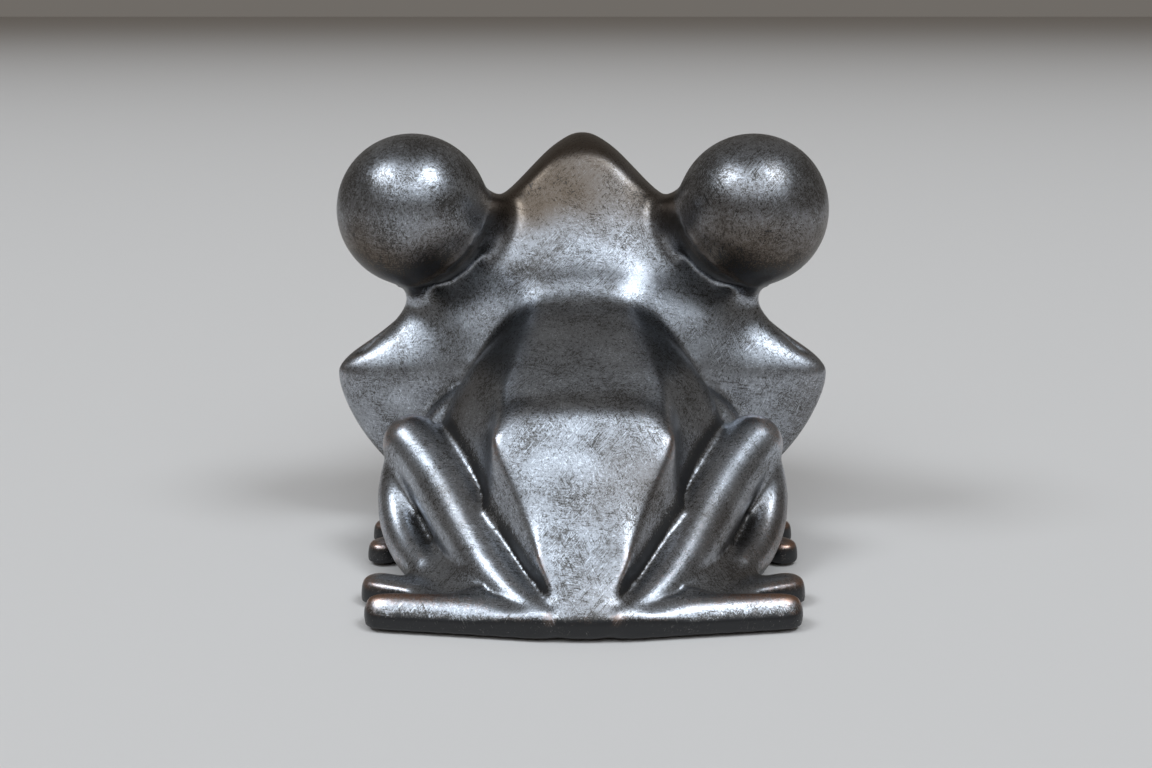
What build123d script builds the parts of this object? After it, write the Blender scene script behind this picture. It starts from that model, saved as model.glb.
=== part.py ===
from build123d import *
import math
import os

# Crouching frog ornament. It faces +Y, so its back is seen along +Y, and it is mirrored about X.
# Resin castings are bonded face to face over steel locating pins and stand on felt pads.
# The origin is under the middle of the whole, on the surface that the frog stands on.

# Shared sizes, in millimetres and degrees
GLUE_GAP = 0.25
WALL = 7.0
PAD_THICKNESS = 1.0
OVERRUN = 10.0
origin_share = 0.764

# Trunk: a flat back panel between two ridges, with flanks that fall to a flat underside
TRUNK_LENGTH = 150.0
TRUNK_HALF_WIDTH = 66.0
TRUNK_HEIGHT = 119.0
PANEL_CROWN = 1.8
# One row a station: along, back rise, ridge half width, flank half width, flank rise,
# belly half width, belly rise, underside half width
kink_shares = (0.333, 0.647, 0.629, 0.625, 0.470, 0.674, 0.252, 0.561)
rump_shares = [
    (0.000, 0.080, 0.125, 0.118, 0.058, 0.122, 0.038, 0.105),
    (0.111, 0.268, 0.298, 0.268, 0.160, 0.290, 0.084, 0.250),
    (0.222, 0.462, 0.466, 0.412, 0.310, 0.460, 0.168, 0.410),
    kink_shares,
]
cavity_shares = [
    kink_shares,
    (0.500, 0.757, 0.545, 0.697, 0.588, 0.780, 0.370, 0.667),
    (0.667, 0.853, 0.447, 0.848, 0.689, 1.000, 0.487, 0.773),
    (0.833, 0.937, 0.356, 0.773, 0.752, 0.909, 0.470, 0.727),
]
neck_shares = (1.000, 1.000, 0.300, 0.667, 0.782, 0.758, 0.437, 0.606)

# Base plate: closes the opening under the trunk
BASE_THICKNESS = 4.0
BASE_CLEARANCE = 0.2

# Head and chest: level slices, widest at the corners of the mouth
HEAD_HALF_WIDTH = 122.0
HEAD_HEIGHT = 194.0
HEAD_DEPTH = 100.0
NAPE_AHEAD = 128.0
# One row a level: rise, half width, then the places of the back, the sides and the front
mouth_shares = (0.440, 1.000, 0.000, 0.140, 0.880)
chest_shares = [
    (0.000, 0.560, 0.200, 0.320, 0.560),
    (0.150, 0.816, 0.120, 0.240, 0.680),
    (0.295, 0.947, 0.060, 0.180, 0.790),
    mouth_shares,
]
skull_shares = [
    mouth_shares,
    (0.575, 0.700, 0.030, 0.270, 0.960),
    (0.720, 0.515, 0.060, 0.400, 1.010),
    (0.860, 0.295, 0.190, 0.580, 0.980),
    (0.987, 0.040, 0.760, 0.820, 0.880),
]
MOUTH_PITCH = 43.0
MOUTH_GROOVE_DEPTH = 2.6
MOUTH_GROOVE_WIDTH = 2.0
MOUTH_INSET = 3.0
HOLLOW_ACROSS = 92.0
HOLLOW_DEEP = 28.0
# One row a level of the hollow, which opens into the neck's socket: rise, half width, half depth, place
hollow_shares = [
    (0.110, 0.55, 0.60, 0.44),
    (0.300, 1.00, 0.95, 0.45),
    (0.490, 0.82, 1.05, 0.50),
    (0.680, 0.47, 0.92, 0.57),
    (0.790, 0.26, 0.72, 0.60),
]

# Eyes: balls that narrow to a neck set in a brow on each side of the head
EYE_RADIUS = 36.0
EYE_NECK_RADIUS = 24.0
EYE_NECK_REACH = 42.0
EYE_OUT = 80.5
BROW_DROP = 21.0
BROW_RADIUS = 32.0
BROW_LENGTH = 36.0
BROW_FLARE = 3.0
eye_along_share = 0.12
eye_rise_share = 0.826
eye_outward_shares = (0.62, -0.40, 0.67)

# Hind legs: a thigh from the tail to the knee and a thinner shin folded under it
KNEE_OUT = 79.0
KNEE_AHEAD = 101.0
KNEE_UP = 56.0
THIGH_RADIUS = 14.5
SHIN_RADIUS = 9.2
ankle_share = 0.66
# One row a station: out, ahead, up and radius
thigh_shares = [
    (0.17, 0.065, 0.135, 0.42),
    (0.45, 0.31, 0.27, 0.74),
    (0.635, 0.59, 0.51, 1.00),
    (0.835, 0.85, 0.81, 1.00),
    (1.00, 1.00, 1.00, 0.93),
]
shin_shares = [
    (1.035, 0.98, 0.84, 1.08),
    (1.065, 0.86, 0.46, 1.00),
    (0.955, 0.66, 0.25, 0.92),
    (0.765, 0.44, 0.18, 0.88),
    (0.59, 0.25, 0.15, 0.90),
]

# Hind feet: three toes that fan out of a heel, with upright walls and rounded tops
HIND_TOE_REACH = 86.0
HIND_TOE_RADIUS = 8.6
HIND_TOE_HEIGHT = 12.0
# One row a toe: heel out, heel ahead, tip out, tip ahead, heel radius and tip radius
hind_toe_shares = [
    (0.20, 0.10, 0.98, 0.22, 0.90, 1.00),
    (0.50, 0.27, 1.04, 0.53, 0.85, 0.98),
    (0.56, 0.36, 0.85, 0.76, 0.85, 0.80),
]

# Front legs: shoulder, elbow and wrist, and three toes
ELBOW_OUT = 70.0
ELBOW_AHEAD = 127.0
ELBOW_UP = 53.0
ARM_RADIUS = 10.5
wrist_share = 0.70
arm_shares = [
    (0.63, 1.01, 1.43, 0.90),
    (0.83, 1.01, 1.235, 1.00),
    (1.00, 1.00, 1.00, 0.98),
    (1.107, 0.984, 0.64, 0.90),
    (1.13, 0.96, 0.21, 0.88),
]
FRONT_TOE_REACH = 93.0
FRONT_TOE_RADIUS = 7.6
FRONT_TOE_HEIGHT = 11.0
front_toe_shares = [
    (0.81, 1.13, 1.01, 1.02, 0.95, 1.00),
    (0.83, 1.26, 1.02, 1.32, 0.95, 1.00),
    (0.83, 1.28, 0.83, 1.58, 0.95, 0.95),
]
toe_round_share = 0.48

# Locating pins across the joints. Hip and shoulder places are out, ahead and up on the trunk
PIN_RADIUS = 2.5
PIN_LENGTH = 12.0
PIN_CLEARANCE = 0.08
hip_pin_shares = [(0.75, 0.41, 0.28), (0.83, 0.52, 0.37)]
shoulder_pin_shares = [(0.87, 0.80, 0.56)]

# Felt pads: strips under the toes, an oval under the base plate and a strip under the chest
PAD_WIDTH = 7.0
BELLY_PAD_LENGTH = 56.0
BELLY_PAD_WIDTH = 40.0
CHEST_PAD_LENGTH = 70.0
CHEST_PAD_WIDTH = 12.0
toe_pad_share = 0.6
belly_pad_along_share = 0.58
chest_pad_along_share = 1.08


def spot(out, ahead, up):
    """A place given from the tail's end, over the surface that the frog stands on."""
    return Vector(out, ahead - origin_share * TRUNK_LENGTH, up)


def biggest(shape):
    """The largest solid of a cut or joined form."""
    return shape.solids().sort_by(SortBy.VOLUME)[-1]


def above_pads(shape):
    """The form with everything under the pads' upper face cut away."""
    size = HEAD_HALF_WIDTH * 4
    return biggest(shape - Pos(0, 0, PAD_THICKNESS - size / 2) * Box(size, size, size))


def trunk_section(row, grow, sole):
    """The outline of one upright slice of the trunk."""
    along, back, ridge, flank, flank_rise, belly, belly_rise, under = row
    y = spot(0, along * TRUNK_LENGTH, 0).Y
    right = [
        Vector(ridge * TRUNK_HALF_WIDTH + grow, y, back * TRUNK_HEIGHT - PANEL_CROWN + grow),
        Vector(flank * TRUNK_HALF_WIDTH + grow, y, flank_rise * TRUNK_HEIGHT),
        Vector(belly * TRUNK_HALF_WIDTH + grow, y, belly_rise * TRUNK_HEIGHT),
        Vector(under * TRUNK_HALF_WIDTH + grow, y, sole),
    ]
    left = [Vector(-p.X, p.Y, p.Z) for p in right]
    top = Vector(0, y, back * TRUNK_HEIGHT + grow)
    return Wire([
        ThreePointArc(left[0], top, right[0]),
        Spline(*right[:3]),
        Spline(*right[2:], tangents=[Vector(0, 0, -1), Vector(-1, 0, -1)]),
        Line(right[3], left[3]),
        Spline(left[3], left[2], tangents=[Vector(-1, 0, 1), Vector(0, 0, 1)]),
        Spline(left[2], left[1], left[0]),
    ])


def trunk_span(shares, grow=0.0, sole=PAD_THICKNESS):
    """The trunk's form through a table of stations, made larger or smaller all round."""
    return Solid.make_loft([trunk_section(row, grow, sole) for row in shares])


def trunk_form(grow=0.0):
    """The rump and the back, which meet at the kink in the back panel."""
    return trunk_span(rump_shares, grow) + trunk_span([*cavity_shares, neck_shares], grow)


def head_place(along, rise, out=0.0):
    """A place in the head from its shares of depth and height."""
    return spot(out, NAPE_AHEAD + along * HEAD_DEPTH, PAD_THICKNESS + rise * (HEAD_HEIGHT - PAD_THICKNESS))


def head_section(row, grow):
    """The outline of one level slice of the head: four quarters of ellipses."""
    rise, half, back, side, front = row
    plane = Plane(head_place(side, rise))
    half_width = half * HEAD_HALF_WIDTH + grow
    ahead = (front - side) * HEAD_DEPTH + grow
    behind = (side - back) * HEAD_DEPTH + grow
    quarters = ((ahead, 0), (ahead, 90), (behind, 180), (behind, 270))
    return Wire([Edge.make_ellipse(half_width, deep, plane, turn, turn + 90) for deep, turn in quarters])


def head_form(grow=0.0):
    """The chest and the skull, which meet at the level of the mouth's corners."""
    chest = Solid.make_loft([head_section(row, grow) for row in chest_shares])
    return chest + Solid.make_loft([head_section(row, grow) for row in skull_shares])


def head_hollow():
    """The space inside the head, from the chest up to the snout."""
    levels = []
    for rise, across, deep, place in hollow_shares:
        plane = Plane(head_place(place, rise))
        levels.append(Wire.make_ellipse(across * HOLLOW_ACROSS, deep * HOLLOW_DEEP, plane))
    return Solid.make_loft(levels)


def mouth_groove():
    """The line of the mouth, cut into the front of the head from corner to corner."""
    rise, half, back, side, front = mouth_shares
    pitch = math.radians(MOUTH_PITCH)
    plane = Plane(head_place(side, rise), x_dir=(1, 0, 0), z_dir=(0, -math.sin(pitch), math.cos(pitch)))
    reach = HEAD_DEPTH * 2
    plate = Pos(0, MOUTH_INSET + reach / 2, 0) * Box(HEAD_HALF_WIDTH * 3, reach, MOUTH_GROOVE_WIDTH)
    return plane.location * plate - head_form(-MOUTH_GROOVE_DEPTH)


def eye_plane(side):
    """The middle of the right (1) or left (-1) eye, with its axis out of the head."""
    out, ahead, up = eye_outward_shares
    place = head_place(eye_along_share, eye_rise_share, side * EYE_OUT)
    return Plane(place, x_dir=(0, 1, 0), z_dir=(side * out, ahead, up))


def eye_form(side, grow=0.0):
    """An eye: a ball whose neck runs down into the head."""
    radius, neck, reach = EYE_RADIUS + grow, EYE_NECK_RADIUS + grow, EYE_NECK_REACH + grow
    slope = math.asin((EYE_RADIUS - EYE_NECK_RADIUS) / EYE_NECK_REACH)
    edge = Vector(radius * math.cos(slope), 0, -radius * math.sin(slope))
    shoulder = Vector(radius * math.cos(math.radians(45)), 0, radius * math.sin(math.radians(45)))
    outline = Wire([
        Line((0, 0, radius), (0, 0, -reach)),
        Line((0, 0, -reach), (neck, 0, -reach)),
        Line((neck, 0, -reach), edge),
        ThreePointArc(edge, shoulder, (0, 0, radius)),
    ])
    return eye_plane(side).location * Solid.revolve(Face(outline), 360, Axis.Z)


def brow_form(side):
    """The collar that stands up from the head round an eye's neck."""
    cone = Solid.make_cone(BROW_RADIUS + BROW_FLARE, BROW_RADIUS, BROW_LENGTH)
    return eye_plane(side).location * Pos(0, 0, -BROW_DROP - BROW_LENGTH) * cone


def limb_path(stations):
    """The middle line of a limb."""
    return Edge.make_spline([place for place, radius in stations])


def limb(stations, side, grow=0.0):
    """A round limb through (place, radius) stations, with domed ends. It never runs along side."""
    path = limb_path(stations)
    rings = []
    for place, radius in stations:
        plane = Plane(place, x_dir=side, z_dir=path % path.param_at_point(place))
        rings.append((radius + grow, plane))
    wires = [
        Wire([Edge.make_circle(radius, plane, turn, turn + 120) for turn in (0, 120, 240)])
        for radius, plane in rings
    ]
    radius, plane = rings[0]
    start = Solid.make_sphere(radius, Plane(plane.origin, x_dir=side, z_dir=-plane.z_dir), angle1=0)
    radius, plane = rings[-1]
    end = Solid.make_sphere(radius, plane, angle1=0)
    return Solid.make_loft(wires) + start + end


def limb_stations(shares, out, ahead, up, radius):
    """A limb's (place, radius) stations from its table of shares."""
    return [(spot(o * out, a * ahead, u * up), r * radius) for o, a, u, r in shares]


def toe_ends(row, reach, radius):
    """The places and the radii of a toe's heel and tip, seen from above."""
    heel_out, heel_ahead, tip_out, tip_ahead, heel, tip = row
    start = spot(heel_out * reach, heel_ahead * reach, 0)
    end = spot(tip_out * reach, tip_ahead * reach, 0)
    return start, end, heel * radius, tip * radius


def toe(row, reach, radius, height):
    """A toe: an upright block round its heel and tip, with its upper edge rounded."""
    start, end, heel, tip = toe_ends(row, reach, radius)
    outline = make_hull([Edge.make_circle(heel, Plane(start)), Edge.make_circle(tip, Plane(end))])
    block = extrude(Pos(0, 0, PAD_THICKNESS) * outline, height)
    return fillet(block.edges().group_by(Axis.Z)[-1], radius * toe_round_share).solid()


def mirrored(shape):
    """The left piece that matches a right one."""
    return mirror(shape, about=Plane.YZ)


def pin(plane, grow=0.0):
    """A locating pin halfway through a joint, or its hole when grown by the clearance."""
    length = PIN_LENGTH + 2 * grow
    return plane.location * Pos(0, 0, -length / 2) * Solid.make_cylinder(PIN_RADIUS + grow, length)


def trunk_joints(shares):
    """Planes square to X at places on the trunk's right flank."""
    return [
        Plane(spot(out * TRUNK_HALF_WIDTH, ahead * TRUNK_LENGTH, up * TRUNK_HEIGHT), z_dir=(1, 0, 0))
        for out, ahead, up in shares
    ]


def limb_joint(stations, share):
    """The plane square to a limb where it is divided, facing its far end."""
    path = limb_path(stations)
    return Plane(path @ share, z_dir=path % share)


def divided(shape, plane):
    """A limb's near and far halves, with the glue gap between them."""
    near = split(shape, bisect_by=plane.offset(-GLUE_GAP / 2), keep=Keep.BOTTOM)
    far = split(shape, bisect_by=plane.offset(GLUE_GAP / 2), keep=Keep.TOP)
    return biggest(near), biggest(far)


def joined(shapes):
    """Several forms as one solid."""
    whole = shapes[0]
    for shape in shapes[1:]:
        whole = whole + shape
    return biggest(whole)


def toes(rows, reach, radius, height):
    """The toes of the right foot."""
    return [toe(row, reach, radius, height) for row in rows]


def toe_pads(rows, reach, radius):
    """A strip of felt under each of the first two toes of the right foot."""
    pads = []
    for row in rows[:2]:
        start, end, heel, tip = toe_ends(row, reach, radius)
        along = (end - start) / 2
        plane = Plane((start + end) / 2, x_dir=along, z_dir=(0, 0, 1))
        strip = Pos(along.length / 2, 0, 0) * SlotCenterToCenter(along.length * toe_pad_share, PAD_WIDTH)
        pads.append(extrude(plane.location * strip, PAD_THICKNESS))
    return pads


def make_head():
    """The head: hollow, with brows, the mouth, a socket for the neck and sockets for the eyes."""
    head = head_form()
    for side in (1, -1):
        socket = eye_form(side, GLUE_GAP)
        head = biggest(head - socket) + biggest(brow_form(side) - socket)
    return biggest(head - trunk_form(GLUE_GAP) - head_hollow() - mouth_groove())


def make_trunk(pins):
    """The trunk: hollow and open below, with a hole for every pin."""
    trunk = trunk_form() - trunk_span(cavity_shares, -WALL, PAD_THICKNESS - OVERRUN)
    for plane in pins:
        hole = pin(plane, PIN_CLEARANCE)
        trunk = trunk - hole - mirrored(hole)
    return biggest(trunk)


def make_base_plate():
    """The plate that fills the opening under the trunk."""
    filling = trunk_span(cavity_shares, -WALL - BASE_CLEARANCE, PAD_THICKNESS - OVERRUN)
    first, last = (row[0] * TRUNK_LENGTH for row in (cavity_shares[0], cavity_shares[-1]))
    length = last - first - 2 * BASE_CLEARANCE
    middle = spot(0, (first + last) / 2, PAD_THICKNESS + BASE_THICKNESS / 2)
    return biggest(filling & Pos(middle) * Box(TRUNK_HALF_WIDTH * 2, length, BASE_THICKNESS))


def make_hind_leg(hips):
    """The right thigh and the upper shin, and the foot with the rest of the shin."""
    side = Vector(KNEE_AHEAD, -KNEE_OUT, 0)
    thigh = limb_stations(thigh_shares, KNEE_OUT, KNEE_AHEAD, KNEE_UP, THIGH_RADIUS)
    shin = limb_stations(shin_shares, KNEE_OUT, KNEE_AHEAD, KNEE_UP, SHIN_RADIUS)
    ankle = limb_joint(shin, ankle_share)
    near, far = divided(limb(shin, side), ankle)
    near_room, far_room = divided(limb(shin, side, GLUE_GAP), ankle)
    trunk = trunk_form(GLUE_GAP)
    foot = joined([far, *toes(hind_toe_shares, HIND_TOE_REACH, HIND_TOE_RADIUS, HIND_TOE_HEIGHT)])
    foot = biggest(foot - limb(thigh, side, GLUE_GAP) - near_room - trunk)
    leg = biggest(joined([limb(thigh, side), near]) - trunk)
    for plane in hips:
        leg = leg - pin(plane, PIN_CLEARANCE)
    hole = pin(ankle, PIN_CLEARANCE)
    return above_pads(leg - hole), above_pads(foot - hole), ankle


def make_front_leg(shoulders):
    """The right arm, and the foot with the wrist."""
    arm = limb_stations(arm_shares, ELBOW_OUT, ELBOW_AHEAD, ELBOW_UP, ARM_RADIUS)
    wrist = limb_joint(arm, wrist_share)
    near, far = divided(limb(arm, Vector(0, 1, 0)), wrist)
    foot = joined([far, *toes(front_toe_shares, FRONT_TOE_REACH, FRONT_TOE_RADIUS, FRONT_TOE_HEIGHT)])
    head = head_form(GLUE_GAP)
    leg = biggest(near - trunk_form(GLUE_GAP) - head)
    for plane in shoulders:
        leg = leg - pin(plane, PIN_CLEARANCE)
    hole = pin(wrist, PIN_CLEARANCE)
    return biggest(leg - hole), above_pads(foot - head - hole), wrist


def both(shapes):
    """Right pieces with their left matches, as one node."""
    return Compound(children=[*shapes, *[mirrored(shape) for shape in shapes]])


def main():
    hips = trunk_joints(hip_pin_shares)
    shoulders = trunk_joints(shoulder_pin_shares)
    hind_leg, hind_foot, ankle = make_hind_leg(hips)
    front_leg, front_foot, wrist = make_front_leg(shoulders)
    belly = Pos(spot(0, belly_pad_along_share * TRUNK_LENGTH, 0))
    chest = Pos(spot(0, chest_pad_along_share * TRUNK_LENGTH, 0))
    nodes = {
        "trunk": make_trunk(hips + shoulders),
        "base_plate": make_base_plate(),
        "head": make_head(),
        "right_eye": eye_form(1),
        "left_eye": eye_form(-1),
        "hip_pins": both([pin(plane) for plane in hips]),
        "shoulder_pins": both([pin(plane) for plane in shoulders]),
        "ankle_pins": both([pin(ankle)]),
        "wrist_pins": both([pin(wrist)]),
        "hind_pads": both(toe_pads(hind_toe_shares, HIND_TOE_REACH, HIND_TOE_RADIUS)),
        "front_pads": both(toe_pads(front_toe_shares, FRONT_TOE_REACH, FRONT_TOE_RADIUS)),
        "belly_pad": extrude(belly * Ellipse(BELLY_PAD_WIDTH / 2, BELLY_PAD_LENGTH / 2), PAD_THICKNESS),
        "chest_pad": extrude(chest * SlotOverall(CHEST_PAD_LENGTH, CHEST_PAD_WIDTH), PAD_THICKNESS),
    }
    sides = {
        "hind_leg": hind_leg,
        "hind_foot": hind_foot,
        "front_leg": front_leg,
        "front_foot": front_foot,
    }
    for name, shape in sides.items():
        nodes["right_" + name] = shape
        nodes["left_" + name] = mirrored(shape)
    os.makedirs("parts", exist_ok=True)
    for name, shape in nodes.items():
        export_step(shape, f"parts/{name}.step")


if __name__ == "__main__":
    main()
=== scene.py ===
import math

import bmesh
import bpy
import numpy as np
from mathutils import Euler, Matrix, Vector
from mathutils.bvhtree import BVHTree


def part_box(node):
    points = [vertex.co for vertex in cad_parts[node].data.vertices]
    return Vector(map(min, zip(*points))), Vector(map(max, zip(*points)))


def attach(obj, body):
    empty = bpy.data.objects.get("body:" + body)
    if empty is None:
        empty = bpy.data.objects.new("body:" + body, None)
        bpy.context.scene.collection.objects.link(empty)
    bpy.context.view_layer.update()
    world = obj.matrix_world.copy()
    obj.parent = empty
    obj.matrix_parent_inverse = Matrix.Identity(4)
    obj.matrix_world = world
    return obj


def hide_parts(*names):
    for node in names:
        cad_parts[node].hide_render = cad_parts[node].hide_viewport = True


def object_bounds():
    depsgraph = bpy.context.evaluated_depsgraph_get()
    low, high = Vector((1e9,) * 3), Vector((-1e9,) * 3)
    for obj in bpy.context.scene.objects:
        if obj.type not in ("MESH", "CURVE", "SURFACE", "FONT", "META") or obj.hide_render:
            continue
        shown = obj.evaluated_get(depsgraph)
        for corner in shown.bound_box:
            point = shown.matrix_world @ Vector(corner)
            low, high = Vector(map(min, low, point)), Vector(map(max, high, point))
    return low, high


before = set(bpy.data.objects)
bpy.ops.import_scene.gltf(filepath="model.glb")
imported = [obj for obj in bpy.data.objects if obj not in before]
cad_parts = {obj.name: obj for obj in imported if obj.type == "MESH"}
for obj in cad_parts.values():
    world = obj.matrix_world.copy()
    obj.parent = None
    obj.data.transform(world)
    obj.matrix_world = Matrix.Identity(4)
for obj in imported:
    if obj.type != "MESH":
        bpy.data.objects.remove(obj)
cad_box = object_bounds()

# A length times MM is in metres. The plain lengths of the sculpting are in millimetres, and a pair of
# them says where an effect starts and where it is full. The frog faces +Y, and its right side is +X
MM = 0.001
ROOT = "root"
CASTINGS = ["trunk", "head", "left_eye", "right_eye"]
CASTINGS += [
    f"{side}_{end}_{piece}"
    for side in ("left", "right") for end in ("hind", "front") for piece in ("leg", "foot")
]
PINS = ["hip_pins", "shoulder_pins", "ankle_pins", "wrist_pins"]
PADS = ["hind_pads", "front_pads", "belly_pad", "chest_pad"]

# Camera of the photograph: pixels of its frame, millimetres of sensor, degrees downwards, and its place
# from the frog's middle, tail and floor
PHOTO_WIDTH = 1152
FOCAL_LENGTH = 1500
SENSOR_WIDTH = 36
CAMERA_PITCH = 14
CAMERA_SIDE = -3.2 * MM
CAMERA_BEHIND = 570.8 * MM
CAMERA_HEIGHT = 252.6 * MM

# Skin of the castings: its grid, the growth that closes a glue gap, and smoothing passes
GRID = 1.3 * MM
WELD = 0.001 * MM
BOND = 0.9 * MM
SMOOTHING = 0.5
EVEN_PASSES = 5
HEAD_PASSES = 320
KINK_PASSES = 420
RIDGE_PASSES = 10
FOOT_PASSES = 22
FILLET_PASSES = 4
ARCH_PASSES = 14
CREASE_PASSES = 14
OWNER_PASSES = 3
RIM_DEPTH = 1.5 * MM

# Where smoothing takes hold, by the distance from the balls of the eyes and from the neck, and the
# share of it that is left at the neck and on the panel's ridges
BALL_EASE = (1.5, 9.0)
ARCH_EASE = (4, 10)
NECK_EASE = (3.0, 12.0)
NECK_SHARE = 0.15
RIDGE_SHARE = 0.15

# How much fuller the folded hind legs are than their solids, which narrows the slits beside them
LEG_FULLNESS = 0.9 * MM

# Web deep between each thigh and its shin, which makes their gap a slit: out, along Y, up and radius
web_stations = [
    (77, -28, 30, 3.6),
    (71, -39, 22, 4.4),
    (65, -51, 15.5, 5.2),
    (57, -64, 12, 5.8),
    (49, -76, 9, 6.2),
]
WEB_STEPS = 4
WEB_DETAIL = 3

# Rear toes: the height from which their tops slope up from the back wall, the slope, a rise in shares,
# where they end along Y and out, and the heights over which they are rounded
TOE_EDGE = 6 * MM
TOE_SLOPE = 1.3
TOE_RISE = 0.2
TOE_PLACE = -92
TOE_FADE = 4
TOE_OUT = (25, 45)
TOE_ROUND_UP = (2, 7)

# Kink of the back panel: its place along Y, how far it is softened, and the panel's half width there
KINK_PLACE = -64.6
KINK_REACH = 34
PANEL_HALF_WIDTH = 40

# Filling over the kink: how high, and its place, reach along Y and fade outwards
KINK_LIFT = 2.5
KINK_FILL_PLACE = KINK_PLACE + 8
KINK_FILL_REACH = 13
KINK_FILL_OUT = (25, PANEL_HALF_WIDTH)

# Rump panel: its half width from the tail to the kink, how it faces and how far it is dished, with the
# dish's two ends as shares of the way from tail to kink
TAIL_PLACE = -114.6
TAIL_HALF_WIDTH = 8
RUMP_HALF_WIDTH = 41
RUMP_FACING = (0, -0.8, 0.6)
RUMP_FACING_EASE = (0.75, 0.92)
RUMP_DISH = 2.6
DISH_START_SHARES = (0.08, 0.45)
DISH_END_SHARES = (0.75, 1.15)

# Back of the head, as heights and places along Y, in its middle, under the eyes and on the cheeks
middle_rise = [(108, 16), (113, 16.5), (119, 20), (161, 48), (170, 53.5), (180, 60), (188, 66)]
brow_rise = [(95, 16.8), (100, 17.6), (106, 19.4), (112, 22.2), (118, 25.8), (124, 29.5), (130, 32.8),
             (136, 35.8), (143, 39.5), (150, 44), (161, 51.5), (170, 57.5), (180, 64)]
cheek_rise = [(76, 17), (84, 20), (92, 24.5), (100, 29.5), (110, 36), (120, 42), (130, 46)]

# Sweep of the head's back: how far out each form takes over, the height that it starts from in the
# middle, how much lower that is on the cheeks, and where it ends
BROW_OUT = (14, 54)
CHEEK_OUT = (60, 85)
SWEEP_HEIGHT = 94
SWEEP_EASE = 10
SWEEP_DROP = 16
SWEEP_DROP_OUT = (55, 80)
SWEEP_END_OUT = (86, 110)
SWEEP_END_UP = (180, 192)

# Balls of the eyes: their radius, how near a swept point has to be to belong to them, and the least
# sweep that counts
EYE_RADIUS = 36
ON_BALL = 0.3
LEAST_SWEEP = 0.05

# Snout and corners of the mouth: their true ends, and from where they are brought back to them
SNOUT_TOP = 193
SNOUT_FOOT = 150
SNOUT_OUT = (15, 45)
CORNER_OUT = 121
CORNER_START = 70

# Arch where the head meets the back: its height, how far it is lifted, and how the lift fades
ARCH_HEIGHT = 113
ARCH_LIFT = 5
ARCH_FADE_OUT = (15, 65)
ARCH_FADE_UP = (4, 34)
ARCH_FADE_AHEAD = (20, 40)

# Mouth: a groove along a tilted plane through the corners, in millimetres and degrees
MOUTH_PLACE = (0, 27.4, 85.9)
MOUTH_PITCH = 43
MOUTH_INSET = 3
MOUTH_DEPTH = 2.4
MOUTH_HALF_WIDTH = 1.5

# Paint measures: how far a raised place and a recess are felt, and the head's share of the recess, which
# paints shade into the hollows
RAISED_PASSES = 30
RECESS_REACH = 13 * MM
RECESS_RAYS = 12
RECESS_PASSES = 2
HEAD_RECESS_SHARE = 0.5
FAR = 40 * MM

# Painted shade in the groove between thighs and trunk: its reach, its quicker end on the thigh, strength
# and facing
GROOVE_REACH = (4, 18)
THIGH_HASTE = 2
GROOVE_SHADE = 0.35
GROOVE_FACING = (0.4, 0.7)

# Brown instead of silver: a tone everywhere, and a painted reflection of warm surroundings on the snout
# and low on the eyes, with the heights of each
BRONZE_ALL = 0.25
SNOUT_PAINTED_REFLECTION = 0.45
EYE_PAINTED_REFLECTION = 0.5
SNOUT_PAINTED_REFLECTION_UP = (132, 168)
SNOUT_PAINTED_REFLECTION_OUT = (40, 65)
EYE_PAINTED_REFLECTION_UP = (130, 172)


def eased(values, start, end):
    """Values eased from 0 at start to 1 at end."""
    t = np.clip((values - start) / (end - start), 0, 1)
    return t * t * (3 - 2 * t)


def border(field):
    """1 where a field is halfway, falling to 0 where it is 0 or 1."""
    return 4 * field * (1 - field)


def bmesh_of(mesh):
    """A new bmesh of a mesh."""
    bm = bmesh.new()
    bm.from_mesh(mesh)
    return bm


def settled(bm, name):
    """The finished mesh of a bmesh."""
    bm.normal_update()
    mesh = bpy.data.meshes.new(name)
    bm.to_mesh(mesh)
    bm.free()
    return mesh


def node_shell(node, grow=0.0):
    """A CAD node welded into closed shells and grown along its normals, as a bmesh."""
    bm = bmesh_of(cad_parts[node].data)
    bmesh.ops.remove_doubles(bm, verts=bm.verts, dist=WELD)
    bm.normal_update()
    for vert, normal in [(v, v.normal.copy()) for v in bm.verts]:
        vert.co += normal * grow
    return bm


def node_tree_of(nodes):
    """A search tree over the surfaces of CAD nodes, and the index of each face's node."""
    whole = bmesh.new()
    owners = []
    for index, node in enumerate(nodes):
        mesh = settled(node_shell(node), node)
        whole.from_mesh(mesh)
        owners += [index] * (len(whole.faces) - len(owners))
        bpy.data.meshes.remove(mesh)
    tree = BVHTree.FromBMesh(whole)
    whole.free()
    return tree, np.array(owners)


def keep_largest(bm):
    """Deletes every shell of a bmesh but the one with the most faces."""
    unseen = set(bm.faces)
    shells = []
    while unseen:
        shell = [unseen.pop()]
        for face in shell:
            for edge in face.edges:
                for other in edge.link_faces:
                    if other in unseen:
                        unseen.remove(other)
                        shell.append(other)
        shells.append(shell)
    shells.sort(key=len)
    small = [face for shell in shells[:-1] for face in shell]
    bmesh.ops.delete(bm, geom=small, context="FACES")


def add_webs(bm):
    """Adds a row of balls between each thigh and its shin."""
    for start, end in zip(web_stations, web_stations[1:]):
        for step in range(WEB_STEPS):
            x, y, z, radius = (a + (b - a) * step / WEB_STEPS for a, b in zip(start, end))
            for side in (1, -1):
                place = Matrix.Translation(Vector((side * x, y, z)) * MM)
                bmesh.ops.create_icosphere(bm, subdivisions=WEB_DETAIL, radius=radius * MM, matrix=place)


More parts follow.
